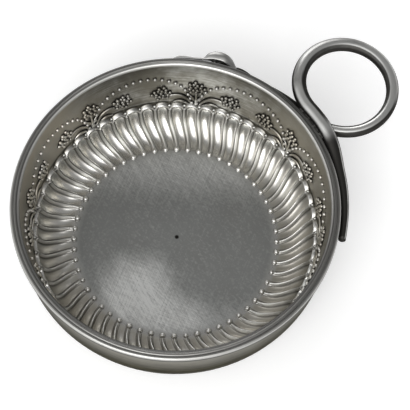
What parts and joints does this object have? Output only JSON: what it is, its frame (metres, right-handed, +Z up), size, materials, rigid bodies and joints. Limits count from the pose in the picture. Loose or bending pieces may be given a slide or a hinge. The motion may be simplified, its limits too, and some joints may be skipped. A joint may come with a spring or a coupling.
{
  "type": "tastevin",
  "caption": "Shallow round silver wine taster with a fluted and beaded bowl, grape sprigs on the wall, a moulded rim and a coiled serpent finger ring soldered beside it.",
  "frame": {"origin": "centre of the base's underside, on the table", "axes": "+Z up, +X from the bowl's axis towards the middle of the finger ring"},
  "size_m": [0.1131, 0.084, 0.0267],
  "materials": {
    "bowl_silver": "aged silver, satin floor, dark tarnish in the relief",
    "rim_silver": "aged silver, worn bright on the edges",
    "serpent_silver": "aged silver, polished by handling",
    "solder": "dull silver solder"
  },
  "bodies": {
    "root": {"bowl": "bowl_silver", "rim_moulding": "rim_silver", "rim_solder": "solder", "serpent_body": "serpent_silver", "serpent_head": "serpent_silver", "neck_solder": "solder", "crossing_solder": "solder", "tail_solder": "solder"}
  },
  "joints": []
}
